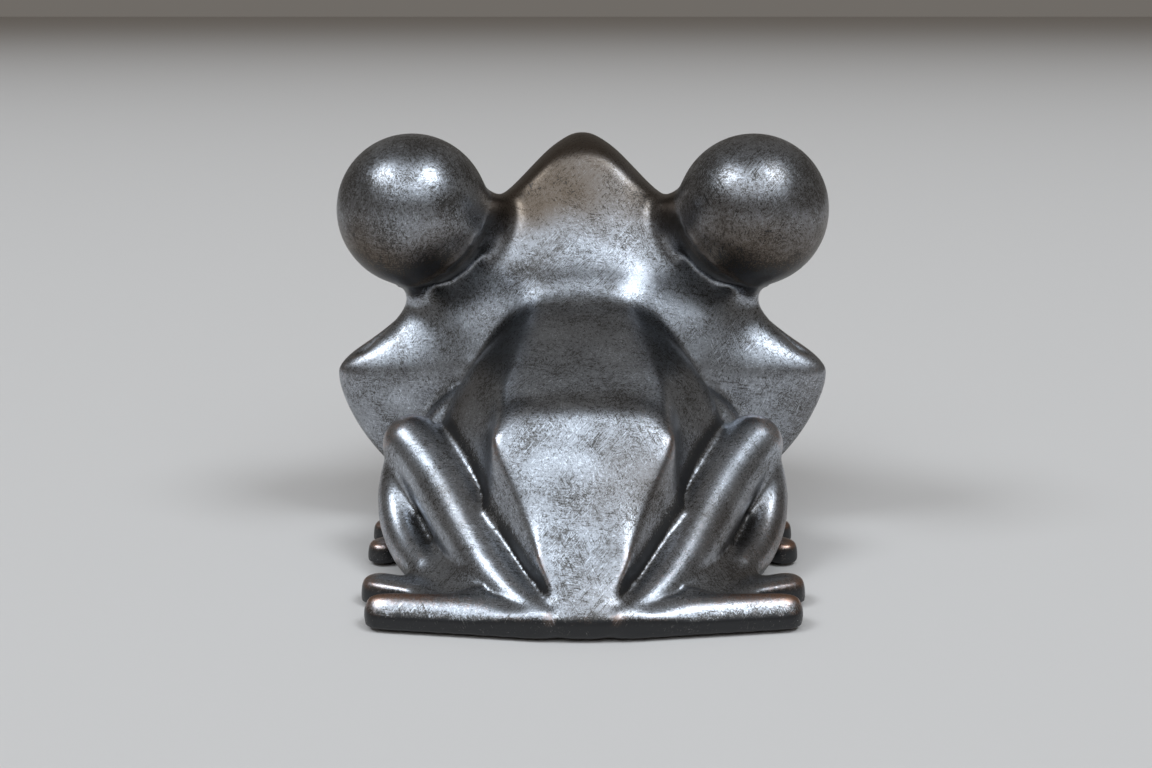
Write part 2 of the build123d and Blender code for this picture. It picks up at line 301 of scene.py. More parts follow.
def fused_skin():
    """One even skin round all the castings, which closes the glue gaps between them."""
    whole = bmesh.new()
    for node in CASTINGS:
        fullness = LEG_FULLNESS if node.endswith("hind_leg") else 0
        mesh = settled(node_shell(node, BOND + fullness), node)
        whole.from_mesh(mesh)
        bpy.data.meshes.remove(mesh)
    add_webs(whole)
    solid = bpy.data.objects.new("skin", settled(whole, "skin"))
    bpy.context.scene.collection.objects.link(solid)
    remesh = solid.modifiers.new("skin", "REMESH")
    remesh.mode = "VOXEL"
    remesh.voxel_size = GRID
    depsgraph = bpy.context.evaluated_depsgraph_get()
    even = bpy.data.meshes.new_from_object(solid.evaluated_get(depsgraph))
    skin = bmesh_of(even)
    bpy.data.objects.remove(solid)
    bpy.data.meshes.remove(even)
    keep_largest(skin)
    return settled(skin, "skin")


class Skin:
    """The fused skin's points, faces and edges as arrays."""

    def __init__(self, mesh):
        self.mesh = mesh
        self.count = len(mesh.vertices)
        self.places = self.read("co")
        faces = np.zeros(len(mesh.loops), int)
        mesh.loops.foreach_get("vertex_index", faces)
        self.faces = faces.reshape(-1, 4)
        edges = np.zeros(len(mesh.edges) * 2, int)
        mesh.edges.foreach_get("vertices", edges)
        self.edges = edges.reshape(-1, 2)
        self.links = np.bincount(edges, minlength=self.count)

    def read(self, name):
        """A vector of each point."""
        values = np.zeros(self.count * 3)
        self.mesh.vertices.foreach_get(name, values)
        return values.reshape(-1, 3)

    def normals(self):
        """The normals at the present places."""
        self.mesh.vertices.foreach_set("co", self.places.ravel())
        self.mesh.update()
        return self.read("normal")

    def near(self, values):
        """The mean of each point's neighbours."""
        a, b = self.edges.T
        total = np.bincount(a, values[b], self.count) + np.bincount(b, values[a], self.count)
        return total / self.links

    def averaged(self, values, passes):
        """Values spread over their neighbours."""
        for _ in range(passes):
            values = (values + self.near(values)) / 2
        return values

    def relax(self, passes, weights):
        """Smooths the skin where the weights say so."""
        used, ends = np.unique(self.edges[(weights[self.edges] > 0).any(1)], return_inverse=True)
        a, b = ends.reshape(-1, 2).T
        pull = (SMOOTHING * weights / self.links)[used]
        links = np.bincount(np.concatenate([a, b]), minlength=len(used))
        places = self.places[used]
        for _ in range(passes):
            for value in places.T:
                total = np.bincount(a, value[b], len(used)) + np.bincount(b, value[a], len(used))
                value += pull * (total - links * value)
        self.places[used] = places

    def raised(self, normals):
        """How far each point stands out of its surroundings, in millimetres."""
        level = np.stack([self.averaged(self.places[:, i], RAISED_PASSES) for i in range(3)], 1)
        return ((self.places - level) * normals).sum(1) / MM

    def distances(self, tree, chosen):
        """The distance of chosen points from a tree's surface, in millimetres, and far for the rest."""
        found = np.full(self.count, FAR)
        for i in np.flatnonzero(chosen):
            hit = tree.find_nearest(Vector(self.places[i]), FAR)
            if hit[3] is not None:
                found[i] = hit[3]
        return found / MM

    def owners(self):
        """The index of the casting that each point belongs to."""
        tree, casting = node_tree_of(CASTINGS)
        nearest = np.array([casting[tree.find_nearest(Vector(p))[2]] for p in self.places])
        fields = [self.averaged((nearest == i).astype(float), OWNER_PASSES) for i in range(len(CASTINGS))]
        return gathered(np.argmax(fields, 0), self.edges)

    def face_pairs(self):
        """Every two faces that share an edge."""
        sides = np.sort(np.stack([self.faces, np.roll(self.faces, -1, 1)], 2).reshape(-1, 2), 1)
        order = np.lexsort(sides.T)
        same = np.flatnonzero((sides[order[1:]] == sides[order[:-1]]).all(1))
        return np.stack([order[same] // 4, order[same + 1] // 4], 1)

    def face_owners(self, owner):
        """The casting that each face belongs to: the one of most of its corners."""
        corners = np.sort(owner[self.faces], 1)
        owner = np.where(corners[:, 0] == corners[:, 1], corners[:, 0], corners[:, 2])
        return gathered(owner, self.face_pairs())


def gathered(owner, pairs):
    """Owners with every stray island given to the casting around it."""
    around = [[] for _ in owner]
    for a, b in pairs.tolist():
        around[a].append(b)
        around[b].append(a)
    unseen = set(range(len(owner)))
    islands = {}
    while unseen:
        island = [unseen.pop()]
        for point in island:
            for other in around[point]:
                if other in unseen and owner[other] == owner[point]:
                    unseen.remove(other)
                    island.append(other)
        islands.setdefault(owner[island[0]], []).append(island)
    for group in islands.values():
        group.sort(key=len)
        for island in group[:-1]:
            rim = [owner[o] for p in island for o in around[p] if owner[o] != owner[p]]
            if rim:
                owner[island] = np.bincount(rim).argmax()
    return owner


def hemisphere(rays):
    """Directions spread over a half sphere about +Z, denser towards its top."""
    golden = math.pi * (3 - math.sqrt(5))
    ways = []
    for i in range(rays):
        height = math.sqrt((i + 0.5) / rays)
        out = math.sqrt(1 - height * height)
        ways.append(Vector((out * math.cos(i * golden), out * math.sin(i * golden), height)))
    return ways


def recesses(skin, normals):
    """How far each point lies in a recess, from 0 in the open to 1, with the floor as a cover too; the
    paint makes it painted shade.
    """
    bm = bmesh_of(skin.mesh)
    tree = BVHTree.FromBMesh(bm)
    bm.free()
    rays = hemisphere(RECESS_RAYS)
    found = np.zeros(skin.count)
    up = Vector((0, 0, 1))
    for i in range(skin.count):
        normal = Vector(normals[i])
        start = Vector(skin.places[i]) + normal * GRID / 4
        turn = up.rotation_difference(normal)
        for ray in rays:
            way = turn @ ray
            reach = tree.ray_cast(start, way, RECESS_REACH)[3] or RECESS_REACH
            if way.z < 0:
                reach = min(reach, -start.z / way.z)
            found[i] += 1 - max(reach, 0) / RECESS_REACH
    return skin.averaged(found / RECESS_RAYS, RECESS_PASSES)


def cut_mouth(skin, head):
    """Presses the line of the mouth into the front of the head."""
    pitch = math.radians(MOUTH_PITCH)
    from_place = skin.places / MM - np.array(MOUTH_PLACE)
    height = from_place @ np.array((0, -math.sin(pitch), math.cos(pitch)))
    ahead = from_place @ np.array((0, math.cos(pitch), math.sin(pitch)))
    depth = np.exp(-(height / MOUTH_HALF_WIDTH) ** 2) * eased(ahead, MOUTH_INSET, MOUTH_INSET * 3) * head
    skin.places -= skin.normals() * (depth * MOUTH_DEPTH * MM)[:, None]


def dish_rump(skin, trunk):
    """Hollows the rump's panel a little between its ridges, and fills it out over the kink."""
    normals = skin.normals()
    x, y, _ = (skin.places / MM).T
    along = (y - TAIL_PLACE) / (KINK_PLACE - TAIL_PLACE)
    half = TAIL_HALF_WIDTH + along * (RUMP_HALF_WIDTH - TAIL_HALF_WIDTH)
    across = np.clip(1 - (x / np.maximum(half, TAIL_HALF_WIDTH)) ** 2, 0, 1)
    where = trunk * eased(normals @ np.array(RUMP_FACING), *RUMP_FACING_EASE)
    depth = where * across * eased(along, *DISH_START_SHARES) * (1 - eased(along, *DISH_END_SHARES))
    skin.places -= normals * (depth * RUMP_DISH * MM)[:, None]
    lift = trunk * (1 - eased(np.abs(y - KINK_FILL_PLACE), 0, KINK_FILL_REACH))
    lift *= 1 - eased(np.abs(x), *KINK_FILL_OUT)
    skin.places[:, 2] += KINK_LIFT * lift * MM


def from_balls(skin):
    """How far each point is along Y from the back of an eye's ball, and how far from its surface."""
    low, high = (np.array(corner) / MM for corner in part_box("right_eye"))
    middle = np.array((high[0] - EYE_RADIUS, (low[1] + high[1]) / 2, high[2] - EYE_RADIUS))
    radius = EYE_RADIUS + BOND / MM
    places = skin.places / MM
    places[:, 0] = np.abs(places[:, 0])
    away = places - middle
    depth = np.sqrt(np.maximum(radius**2 - away[:, 0] ** 2 - away[:, 2] ** 2, 0))
    behind = np.where(depth > 0, -depth - away[:, 1], np.inf)
    return behind, np.linalg.norm(away, axis=1) - radius


def sweep_head(skin, owner):
    """Sweeps the back of the head up from the arch, and gives the eyes what then lies on their balls."""
    x, y, z = (skin.places / MM).T
    out = np.abs(x)
    middle = np.interp(z, *zip(*middle_rise))
    brow = np.interp(z, *zip(*brow_rise))
    cheek = np.interp(z, *zip(*cheek_rise))
    face = middle + (brow - middle) * eased(out, *BROW_OUT)
    face += (cheek - face) * eased(out, *CHEEK_OUT)
    start = SWEEP_HEIGHT - SWEEP_DROP * eased(out, *SWEEP_DROP_OUT)
    head = owner == CASTINGS.index("head")
    ahead = np.clip(np.minimum(face - y, from_balls(skin)[0]), 0, None) * head
    ahead *= (1 - eased(out, *SWEEP_END_OUT)) * (1 - eased(z, *SWEEP_END_UP))
    ahead *= eased(z - start, 0, SWEEP_EASE)
    skin.places[:, 1] += ahead * MM
    on_ball = head & (ahead > LEAST_SWEEP) & (from_balls(skin)[1] < ON_BALL)
    owner[on_ball & (x > 0)] = CASTINGS.index("right_eye")
    owner[on_ball & (x < 0)] = CASTINGS.index("left_eye")


def raise_arch(skin):
    """Lifts the arch where the head meets the back."""
    x, y, z = (skin.places / MM).T
    lift = (1 - eased(np.abs(x), *ARCH_FADE_OUT)) * (1 - eased(y, *ARCH_FADE_AHEAD))
    lift *= 1 - eased(np.abs(z - ARCH_HEIGHT), *ARCH_FADE_UP)
    skin.places[:, 2] += ARCH_LIFT * lift * MM


def slope_toes(skin, feet):
    """Slopes the tops of the rear toes down to their back walls, rounds the feet and lifts the toes."""
    skin.normals()
    bm = bmesh_of(skin.mesh)
    tree = BVHTree.FromBMesh(bm)
    bm.free()
    x, y, z = (skin.places / MM).T
    share = (1 - eased(y, TOE_PLACE - TOE_FADE, TOE_PLACE)) * eased(np.abs(x), *TOE_OUT)
    for i in np.flatnonzero(feet & (share > 0) & (z * MM > TOE_EDGE)):
        start = Vector((skin.places[i, 0], skin.places[i, 1] + GRID / 4, TOE_EDGE))
        inward = tree.ray_cast(start, Vector((0, -1, 0)), FAR)[3] or 0
        lower = skin.places[i, 2] - TOE_EDGE - TOE_SLOPE * inward
        skin.places[i, 2] -= share[i] * max(lower, 0)
    skin.relax(FOOT_PASSES, feet * eased(skin.places[:, 2] / MM, *TOE_ROUND_UP))
    skin.places[:, 2] *= 1 + TOE_RISE * share * feet


def raise_snout(skin, head):
    """Brings the top of the snout back up to its height."""
    x, _, z = (skin.places / MM).T
    near = head * (1 - eased(np.abs(x), *SNOUT_OUT))
    lost = SNOUT_TOP - z.max(where=near > 0.5, initial=0)
    skin.places[:, 2] += near * lost * eased(z, SNOUT_FOOT, SNOUT_TOP - lost) * MM


def widen_corners(skin, head):
    """Brings the corners of the mouth back out to their width."""
    out = np.abs(skin.places[:, 0]) / MM
    lost = CORNER_OUT - out.max(where=head, initial=0)
    wider = head * lost * eased(out, CORNER_START, CORNER_OUT)
    skin.places[:, 0] += np.sign(skin.places[:, 0]) * wider * MM


def sculpted():
    """The finished skin, its owners, the thighs' distance from the trunk and the groove between them."""
    skin = Skin(fused_skin())
    skin.relax(EVEN_PASSES, np.ones(skin.count))
    owner = skin.owners()
    sweep_head(skin, owner)
    owner = gathered(owner, skin.edges)
    names = np.array(CASTINGS)[owner]
    head = names == "head"
    trunk = names == "trunk"
    eyes = np.char.endswith(names, "eye")
    feet = np.char.endswith(names, "foot")
    thighs = np.char.endswith(names, "hind_leg")
    from_eyes = from_balls(skin)[1]
    from_trunk = skin.distances(node_tree_of(["trunk"])[0], head | thighs)
    from_thighs = skin.distances(node_tree_of(["left_hind_leg", "right_hind_leg"])[0], trunk)
    off_neck = NECK_SHARE + (1 - NECK_SHARE) * eased(from_trunk, *NECK_EASE)
    skin.relax(HEAD_PASSES, head * eased(from_eyes, *BALL_EASE) * off_neck)
    x, y, _ = (skin.places / MM).T
    across = 1 - (1 - RIDGE_SHARE) * eased(np.abs(x), PANEL_HALF_WIDTH / 2, PANEL_HALF_WIDTH)
    along = 1 - eased(np.abs(y - KINK_PLACE), KINK_REACH / 2, KINK_REACH)
    skin.relax(KINK_PASSES, trunk * across * along)
    dish_rump(skin, trunk)
    skin.relax(RIDGE_PASSES, trunk.astype(float))
    slope_toes(skin, feet)
    skin.relax(FILLET_PASSES, 1.0 - eyes)
    join = skin.averaged(head.astype(float), OWNER_PASSES)
    skin.relax(ARCH_PASSES, border(join) * eased(from_eyes, *ARCH_EASE))
    raise_arch(skin)
    rim = skin.averaged(eyes.astype(float), OWNER_PASSES)
    skin.relax(CREASE_PASSES, border(rim))
    widen_corners(skin, head)
    raise_snout(skin, head)
    skin.places -= skin.normals() * BOND
    cut_mouth(skin, head)
    low, high = (np.array(corner) for corner in cad_box)
    skin.places = np.clip(skin.places, low, high)
    seam = np.where(thighs, from_trunk, FAR / MM)
    groove = 1 - eased(np.minimum(from_thighs, seam * THIGH_HASTE), *GROOVE_REACH)
    return skin, owner, seam, groove


def tan_tone_and_painted_reflection(skin, owner):
    """How far the silver gives way to brown: a tone everywhere, and a painted reflection on the snout and
    low on the eyes.
    """
    x, _, z = (skin.places / MM).T
    names = np.array(CASTINGS)[owner]
    snout = (names == "head") * eased(z, *SNOUT_PAINTED_REFLECTION_UP) * (1 - eased(np.abs(x), *SNOUT_PAINTED_REFLECTION_OUT))
    low = np.char.endswith(names, "eye") * (1 - eased(z, *EYE_PAINTED_REFLECTION_UP))
    return BRONZE_ALL + SNOUT_PAINTED_REFLECTION * snout + EYE_PAINTED_REFLECTION * low


def keep(mesh, name, values):
    """Stores a value for each point of a mesh."""
    mesh.attributes.new(name, "FLOAT", "POINT").data.foreach_set("value", values.astype(np.float32))


def placed(mesh, name, material, slot, *nodes):
    """A finished piece in the place of its CAD nodes."""
    piece = bpy.data.objects.new(name, mesh)
    bpy.context.scene.collection.objects.link(piece)
    mesh.materials.append(material)
    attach(piece, ROOT)
    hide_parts(*nodes)
    return piece


def casting_mesh(skin, name, faces, values, normals):
    """One casting's part of the skin, closed where it meets its neighbours."""
    used, corners = np.unique(faces, return_inverse=True)
    mesh = bpy.data.meshes.new(name)
    mesh.from_pydata(skin.places[used].tolist(), [], corners.reshape(-1, 4).tolist())
    for key, all_values in values.items():
        keep(mesh, key, all_values[used])
    layer = mesh.attributes.new("skin_normal", "FLOAT_VECTOR", "POINT")
    layer.data.foreach_set("vector", normals[used].astype(np.float32).ravel())
    bm = bmesh_of(mesh)
    keep_largest(bm)
    loose = [v for v in bm.verts if not v.link_faces]
    bmesh.ops.delete(bm, geom=loose, context="VERTS")
    rim = [e for e in bm.edges if e.is_boundary]
    facing = bm.verts.layers.float_vector["skin_normal"]
    inner = bmesh.ops.extrude_edge_only(bm, edges=rim)["geom"]
    for vert in [v for v in inner if isinstance(v, bmesh.types.BMVert)]:
        vert.co -= vert[facing] * RIM_DEPTH
    rim = [e for e in bm.edges if e.is_boundary]
    bmesh.ops.holes_fill(bm, edges=rim, sides=0)
    bm.to_mesh(mesh)
    bm.free()
    for face in mesh.polygons:
        face.use_smooth = True
    shading = np.zeros(len(mesh.vertices) * 3, np.float32)
    mesh.attributes["skin_normal"].data.foreach_get("vector", shading)
    mesh.normals_split_custom_set_from_vertices(shading.reshape(-1, 3))
    mesh.attributes.remove(mesh.attributes["skin_normal"])
    return mesh


class Nodes:
    """Short calls that build one shader node tree."""

    def __init__(self, tree):
        self.tree = tree

    def add(self, kind, inputs=None, **settings):
        """A node with its settings and inputs, each a value or another node's output."""
        node = self.tree.nodes.new(kind)
        for name, value in settings.items():
            setattr(node, name, value)
        for name, value in (inputs or {}).items():
            self.feed(node.inputs[name], value)
        return node

    def feed(self, socket, value):
        """Links an output to a socket, or sets the socket's value."""
        if isinstance(value, bpy.types.NodeSocket):
            self.tree.links.new(value, socket)
        else:
            socket.default_value = value

    def math(self, operation, a, b=0.0, clamp=False):
        """The result of a sum."""
        return self.add("ShaderNodeMath", {0: a, 1: b}, operation=operation, use_clamp=clamp).outputs[0]

    def total(self, *terms):
        """The sum of several values."""
        whole = terms[0]
        for term in terms[1:]:
            whole = self.math("ADD", whole, term)
        return whole

    def swing(self, value, weight):
        """A pattern's swing about its middle, times a weight."""
        return self.math("MULTIPLY", self.math("SUBTRACT", value, 0.5), weight)

    def ramp(self, value, start, end, low=0.0, high=1.0):
        """A value eased from low to high between start and end."""
        inputs = {"Value": value, "From Min": start, "From Max": end, "To Min": low, "To Max": high}
        return self.add("ShaderNodeMapRange", inputs, interpolation_type="SMOOTHSTEP").outputs[0]

    def mix(self, mask, under, over):
        """One colour laid over another by a mask."""
        node = self.add("ShaderNodeMix", {0: mask}, data_type="RGBA")
        self.feed(node.inputs[6], under)
        self.feed(node.inputs[7], over)
        return node.outputs[2]

    def noise(self, vector, scale, detail=2.0, rough=0.5):
        """A cloudy pattern."""
        inputs = {"Vector": vector, "Scale": scale, "Detail": detail, "Roughness": rough}
        return self.add("ShaderNodeTexNoise", inputs).outputs["Fac"]

    def placed_group(self, tree, vector):
        """The first output of a node group that reads coordinates."""
        group = self.add("ShaderNodeGroup", node_tree=tree)
        self.feed(group.inputs["Vector"], vector)
        return group.outputs[0]

    def stretched(self, vector, turn, scale):
        """Coordinates turned, then scaled along their axes."""
        turned = self.add("ShaderNodeMapping", {"Vector": vector, "Rotation": turn}).outputs[0]
        return self.add("ShaderNodeMapping", {"Vector": turned, "Scale": scale}).outputs[0]


def node_group(name, inputs, outputs):
    """An empty node group with named sockets, and its input and output nodes."""
    tree = bpy.data.node_groups.new(name, "ShaderNodeTree")
    for socket, kind in inputs.items():
        tree.interface.new_socket(name=socket, in_out="INPUT", socket_type="NodeSocket" + kind)
    for socket, kind in outputs.items():
        tree.interface.new_socket(name=socket, in_out="OUTPUT", socket_type="NodeSocket" + kind)
    nodes = Nodes(tree)
    return nodes, nodes.add("NodeGroupInput").outputs, nodes.add("NodeGroupOutput").inputs


# Rub strokes: turns of the strokes in degrees, then lines to the metre along and across, their scale,
# detail and roughness, and the lumps to the metre that say where they are strong
stroke_turns = [(0, 0, 20), (35, 50, 0), (70, 15, 65), (15, 80, 110), (60, 120, 40)]
STROKE_ALONG = 110
STROKE_ACROSS = 1700
STROKE_PATTERN = (1.0, 2.0, 0.6)
STROKE_EASE = (0.52, 0.74)
STROKE_PATCHES = 70.0
PATCH_EASE = (0.42, 0.62)


def stroke_group():
    """Fine hair-like strokes in several directions, each strong in some places only."""
    nodes, given, result = node_group("rub_strokes", {"Vector": "Vector"}, {"Strokes": "Float"})
    strokes = 0.0
    for i, turn in enumerate(stroke_turns):
        turn = Euler([math.radians(t) for t in turn])
        vector = nodes.stretched(given["Vector"], turn, (STROKE_ALONG, STROKE_ACROSS, STROKE_ACROSS))
        hair = nodes.ramp(nodes.noise(vector, *STROKE_PATTERN), *STROKE_EASE)
        shifted = {"Vector": given["Vector"], "Location": (i, i, i)}
        place = nodes.add("ShaderNodeMapping", shifted).outputs[0]
        where = nodes.ramp(nodes.noise(place, STROKE_PATCHES), *PATCH_EASE)
        strokes = nodes.math("MAXIMUM", strokes, nodes.math("MULTIPLY", hair, where))
    nodes.feed(result["Strokes"], strokes)
    return nodes.tree


# Paint colours
BLACK = (0.010, 0.0105, 0.012, 1)
PEWTER = (0.10, 0.096, 0.092, 1)
SILVER = (0.39, 0.415, 0.455, 1)
BRIGHT = (0.69, 0.74, 0.82, 1)
COPPER = (0.44, 0.24, 0.15, 1)
# Brown for a random tone, and for a painted reflection of warm surroundings
BRONZE = (0.105, 0.076, 0.05, 1)
CREAM = (0.60, 0.54, 0.45, 1)

# Patterns of the rub: lumps to the metre, detail and roughness
CLOUD = (55.0, 3.0, 0.55)
MOTTLE = (520.0, 5.0, 0.68)
GRAIN = (1700.0, 2.0, 0.6)
TAN_PATCHES = (16.0, 2.0)
SEAM_BREAKS = (160.0, 3.0)

# Scratches: the same strokes, turned in radians and scaled
SCRATCH_TURN = (1, 2, 3)
SCRATCH_SCALE = (0.8, 0.8, 0.8)

# Pale line of glue: how far it lies from the trunk and where its edges fade, in millimetres
SEAM_PLACE = 1.1
SEAM_EASE = (0.25, 0.6)

# Painted shade on low steep walls near the floor, where the black base also shows: the heights over which
# it ends, and the depth of the paint's relief
WALL_FULL = 7 * MM
WALL_END = 15 * MM
PAINT_RELIEF = 0.3 * MM


def rub_group(strokes):
    """Near-black paint rubbed with silver, with copper on what stands out, painted shade in recesses,
    grooves, low walls and undersides, and brown tone that is partly a painted reflection.
    """
    inputs = {"Vector": "Vector", "Raised": "Float", "Recess": "Float", "Seam": "Float", "Wall_and_underside_shade": "Float",
              "Silver": "Float", "Copper": "Float", "Tan_tone_and_reflection": "Float"}
    outputs = {"Color": "Color", "Metal": "Float", "Roughness": "Float", "Height": "Float"}
    nodes, given, result = node_group("silver_rub", inputs, outputs)
    vector = given["Vector"]
    hair = nodes.placed_group(strokes, vector)
    scratch = nodes.placed_group(strokes, nodes.stretched(vector, SCRATCH_TURN, SCRATCH_SCALE))
    cloud = nodes.noise(vector, *CLOUD)
    mottle = nodes.noise(vector, *MOTTLE)
    grain = nodes.noise(vector, *GRAIN)
    amount = nodes.total(
        given["Silver"],
        nodes.swing(cloud, 0.7),
        nodes.swing(mottle, 0.8),
        nodes.swing(grain, 0.6),
        nodes.math("MULTIPLY", hair, 0.55),
        nodes.math("MULTIPLY", scratch, -0.38),
        nodes.ramp(given["Raised"], 0.05, 0.9, 0.0, 0.35),
        # Painted shade: recesses and grooves go black, then low steep walls and undersides
        nodes.ramp(given["Recess"], 0.15, 0.5, 0.0, -1.0),
        nodes.math("MULTIPLY", given["Wall_and_underside_shade"], -0.9),
    )
    colour = nodes.mix(nodes.ramp(amount, -0.05, 0.28), BLACK, PEWTER)
    colour = nodes.mix(nodes.ramp(amount, 0.20, 0.68), colour, SILVER)
    colour = nodes.mix(nodes.ramp(amount, 0.68, 1.1), colour, BRIGHT)
    # Brown tone in random patches, with a painted reflection of warm surroundings on the snout and low on
    # the eyes
    tan = nodes.math("ADD", nodes.noise(vector, *TAN_PATCHES), given["Tan_tone_and_reflection"])
    tan = nodes.ramp(tan, 0.62, 1.25, 0.0, 0.9)
    colour = nodes.mix(tan, colour, nodes.mix(nodes.ramp(amount, 0.05, 0.5), BLACK, BRONZE))
    edge = nodes.math("ADD", given["Raised"], nodes.swing(mottle, 1.2))
    edge = nodes.math("MULTIPLY", nodes.ramp(edge, 0.30, 1.1), given["Copper"])
    edge = nodes.math("MULTIPLY", edge, nodes.math("SUBTRACT", 1.0, given["Wall_and_underside_shade"], clamp=True))
    edge = nodes.math("MULTIPLY", edge, nodes.ramp(given["Recess"], 0.25, 0.5, 1.0, 0.0))
    colour = nodes.mix(edge, colour, COPPER)
    from_line = nodes.math("ABSOLUTE", nodes.math("SUBTRACT", given["Seam"], SEAM_PLACE))
    breaks = nodes.ramp(nodes.noise(vector, *SEAM_BREAKS), 0.40, 0.56)
    line = nodes.math("MULTIPLY", nodes.ramp(from_line, *SEAM_EASE, 1.0, 0.0), breaks)
    colour = nodes.mix(line, colour, CREAM)
    nodes.feed(result["Color"], colour)
    metal = nodes.ramp(amount, -0.05, 0.30, 0.0, 1.0)
    nodes.feed(result["Metal"], nodes.math("MULTIPLY", metal, nodes.math("SUBTRACT", 1.0, line)))
    rough = nodes.ramp(amount, 0.1, 0.9, 0.36, 0.29)
    nodes.feed(result["Roughness"], nodes.math("ADD", rough, nodes.swing(grain, 0.14)))
    nodes.feed(result["Height"], nodes.total(
        nodes.math("MULTIPLY", grain, 0.5),
        nodes.math("MULTIPLY", hair, 0.3),
        nodes.math("MULTIPLY", mottle, 0.8),
    ))
    return nodes.tree


def new_material(name):
    """A material, its tree of nodes and its shader."""
    material = bpy.data.materials.new(name)
    material.use_nodes = True
    return material, Nodes(material.node_tree), material.node_tree.nodes["Principled BSDF"]


def bumped(nodes, shader, height, strength, distance):
    """Gives a shader the relief of a height."""
    inputs = {"Height": height, "Strength": strength, "Distance": distance}
    nodes.feed(shader.inputs["Normal"], nodes.add("ShaderNodeBump", inputs).outputs["Normal"])


def casting_paint(name, rub, silver, copper, relief):
    """The rubbed paint of the castings, with its own share of each colour."""
    material, nodes, shader = new_material(name)
    group = nodes.add("ShaderNodeGroup", node_tree=rub)
    normal = nodes.add("ShaderNodeNewGeometry").outputs["Normal"]
    upward = nodes.add("ShaderNodeSeparateXYZ", {0: normal}).outputs["Z"]
    vector = nodes.add("ShaderNodeTexCoord").outputs["Object"]
    height = nodes.add("ShaderNodeSeparateXYZ", {0: vector}).outputs["Z"]
    # Painted shade: low steep walls near the floor, and surfaces facing down, are darkened
    steep = nodes.ramp(upward, 0.3, 0.75, 1.0, 0.0)
    low = nodes.math("MULTIPLY", nodes.ramp(height, WALL_FULL, WALL_END, 1.0, 0.0), steep)
    under = nodes.ramp(upward, -0.95, -0.3, 0.6, 0.0)
    inputs = {
        "Vector": vector,
        "Wall_and_underside_shade": nodes.math("MAXIMUM", low, under),
        "Silver": silver,
        "Copper": copper,
    }
    for key in ("Raised", "Recess", "Seam", "Tan_tone_and_reflection"):
        inputs[key] = nodes.add("ShaderNodeAttribute", attribute_name=key.lower()).outputs["Fac"]
    for socket, value in inputs.items():
        nodes.feed(group.inputs[socket], value)
    nodes.feed(shader.inputs["Base Color"], group.outputs["Color"])
    nodes.feed(shader.inputs["Metallic"], group.outputs["Metal"])
    nodes.feed(shader.inputs["Roughness"], group.outputs["Roughness"])
    bumped(nodes, shader, group.outputs["Height"], relief, PAINT_RELIEF)
    return material


# Felt, base plate and pins: two colours, the patterns that mix them, and the depth of the relief
FELT_DARK = (0.012, 0.012, 0.013, 1)
FELT_DUST = (0.06, 0.058, 0.056, 1)
FELT_FIBRES = (2600.0, 4.0, 0.7)
FELT_CLOUD = (180.0, 2.0)
FELT_ROUGHNESS = 0.95
FELT_RELIEF = 0.25 * MM
BASE_DARK = (0.035, 0.035, 0.038, 1)
BASE_PALE = (0.085, 0.083, 0.08, 1)
BASE_GRAIN = (700.0, 3.0, 0.6)
BASE_CLOUD = (45.0, 2.0)
BASE_RELIEF = 0.2 * MM
STEEL_DARK = (0.42, 0.42, 0.43, 1)
STEEL_BRIGHT = (0.62, 0.62, 0.63, 1)
STEEL_LINES = (120, 2400, 2400)
STEEL_PATTERN = (1.0, 3.0, 0.6)
STEEL_RELIEF = 0.05 * MM


def felt_material():
    """Dense black felt: tangled fibres with a little dust."""
    material, nodes, shader = new_material("felt")
    vector = nodes.add("ShaderNodeTexCoord").outputs["Object"]
    fibre = nodes.noise(vector, *FELT_FIBRES)
    cloud = nodes.noise(vector, *FELT_CLOUD)
    shade = nodes.total(nodes.ramp(fibre, 0.3, 0.75, 0.0, 0.7), nodes.swing(cloud, 0.6))
    nodes.feed(shader.inputs["Base Color"], nodes.mix(shade, FELT_DARK, FELT_DUST))
    shader.inputs["Roughness"].default_value = FELT_ROUGHNESS
    bumped(nodes, shader, fibre, 0.7, FELT_RELIEF)
    return material


def base_material():
    """Matt black resin with a cast grain."""
    material, nodes, shader = new_material("base_resin")
    vector = nodes.add("ShaderNodeTexCoord").outputs["Object"]
    grain = nodes.noise(vector, *BASE_GRAIN)
    cloud = nodes.noise(vector, *BASE_CLOUD)
    shade = nodes.total(nodes.ramp(grain, 0.3, 0.7, 0.0, 0.6), nodes.swing(cloud, 0.8))
    nodes.feed(shader.inputs["Base Color"], nodes.mix(shade, BASE_DARK, BASE_PALE))
    nodes.feed(shader.inputs["Roughness"], nodes.ramp(grain, 0.3, 0.7, 0.6, 0.75))
    bumped(nodes, shader, grain, 0.3, BASE_RELIEF)
    return material


def steel_material():
    """Bright drawn steel with fine lines."""
    material, nodes, shader = new_material("pin_steel")
    vector = nodes.add("ShaderNodeTexCoord").outputs["Object"]
    lines = nodes.noise(nodes.stretched(vector, (0, 0, 0), STEEL_LINES), *STEEL_PATTERN)
    nodes.feed(shader.inputs["Base Color"], nodes.mix(lines, STEEL_DARK, STEEL_BRIGHT))
    shader.inputs["Metallic"].default_value = 1.0
    nodes.feed(shader.inputs["Roughness"], nodes.ramp(lines, 0.3, 0.7, 0.25, 0.42))
    bumped(nodes, shader, lines, 0.15, STEEL_RELIEF)
    return material


# Felt pads: how far the cut edge is rounded, and in degrees what counts as flat and as a cut edge
FELT_ROUND = 0.3 * MM
FLAT_ANGLE = 1
CUT_ANGLE = 60


